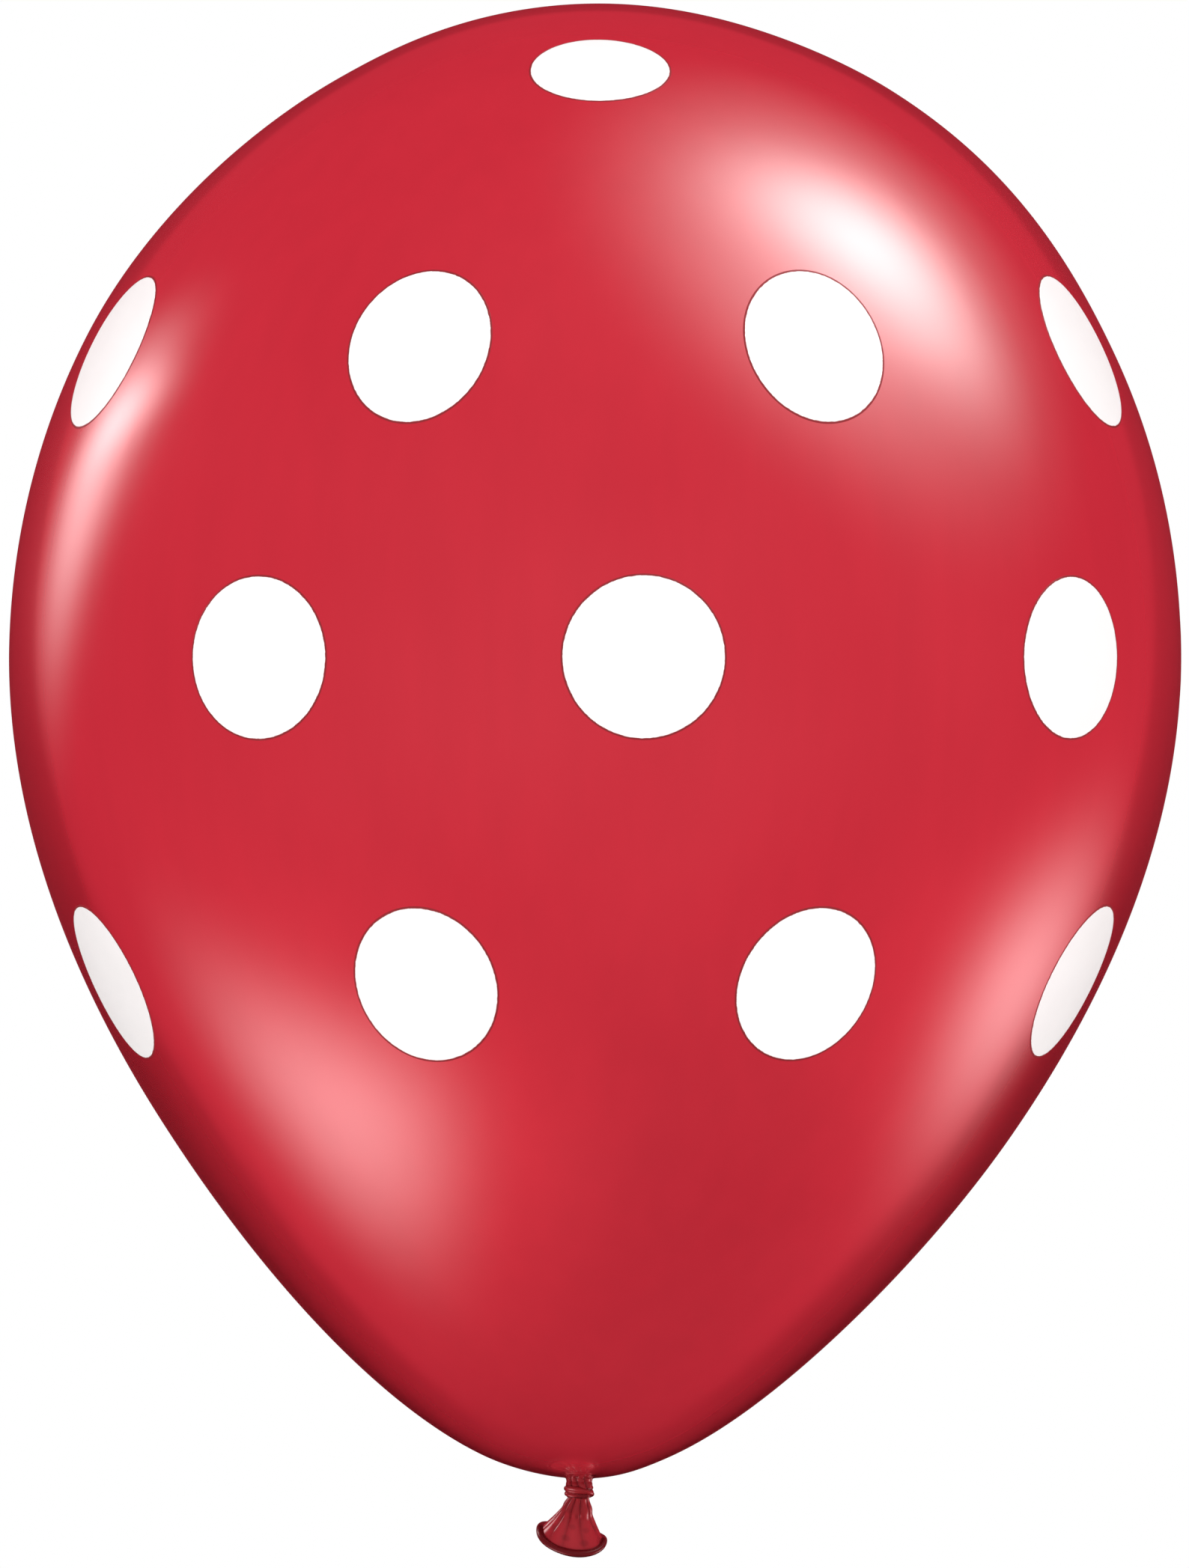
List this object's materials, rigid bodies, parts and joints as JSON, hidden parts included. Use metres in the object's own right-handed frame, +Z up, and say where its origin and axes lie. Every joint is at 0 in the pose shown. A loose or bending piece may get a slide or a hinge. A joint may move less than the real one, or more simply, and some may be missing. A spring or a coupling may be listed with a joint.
{
  "type": "latex balloon",
  "caption": "Inflated round latex party balloon printed with polka dots, tied in a knot above a short flared tail with a rolled rim.",
  "frame": {"origin": "middle of the tied neck, between the bulb and the knot, where a ribbon is wound", "axes": "+Z up through the crown of the bulb, -Y the front, +X to the right of the front; the tail hangs down from the origin"},
  "size_m": [0.2804, 0.2804, 0.3711],
  "materials": {
    "red_latex": "gloss",
    "white_ink": "satin"
  },
  "bodies": {
    "root": {"bulb": "red_latex", "neck": "red_latex", "crown_dot_1": "white_ink", "crown_dot_2": "white_ink", "crown_dot_3": "white_ink", "upper_dot_1": "white_ink", "upper_dot_2": "white_ink", "upper_dot_3": "white_ink", "upper_dot_4": "white_ink", "upper_dot_5": "white_ink", "upper_dot_6": "white_ink", "upper_dot_7": "white_ink", "upper_dot_8": "white_ink", "middle_dot_1": "white_ink", "middle_dot_2": "white_ink", "middle_dot_3": "white_ink", "middle_dot_4": "white_ink", "middle_dot_5": "white_ink", "middle_dot_6": "white_ink", "middle_dot_7": "white_ink", "middle_dot_8": "white_ink", "lower_dot_1": "white_ink", "lower_dot_2": "white_ink", "lower_dot_3": "white_ink", "lower_dot_4": "white_ink", "lower_dot_5": "white_ink", "lower_dot_6": "white_ink", "lower_dot_7": "white_ink", "lower_dot_8": "white_ink"},
    "knot": {"knot": "red_latex"},
    "tail": {"tail_skirt": "red_latex", "tail_bead": "red_latex"}
  },
  "joints": [
    {"name": "neck_twist", "type": "hinge", "parent": "root", "child": "knot", "pos_m": [0, 0, -0.0007], "axis": [0, 0, 1], "range_deg": [-90, 90], "stiffness_Nm_per_rad": 0.00002},
    {"name": "tail_bend", "type": "hinge", "parent": "knot", "child": "tail", "pos_m": [0, 0, -0.00475], "axis": [0, 1, 0], "range_deg": [-40, 40], "stiffness_Nm_per_rad": 0.00002}
  ]
}
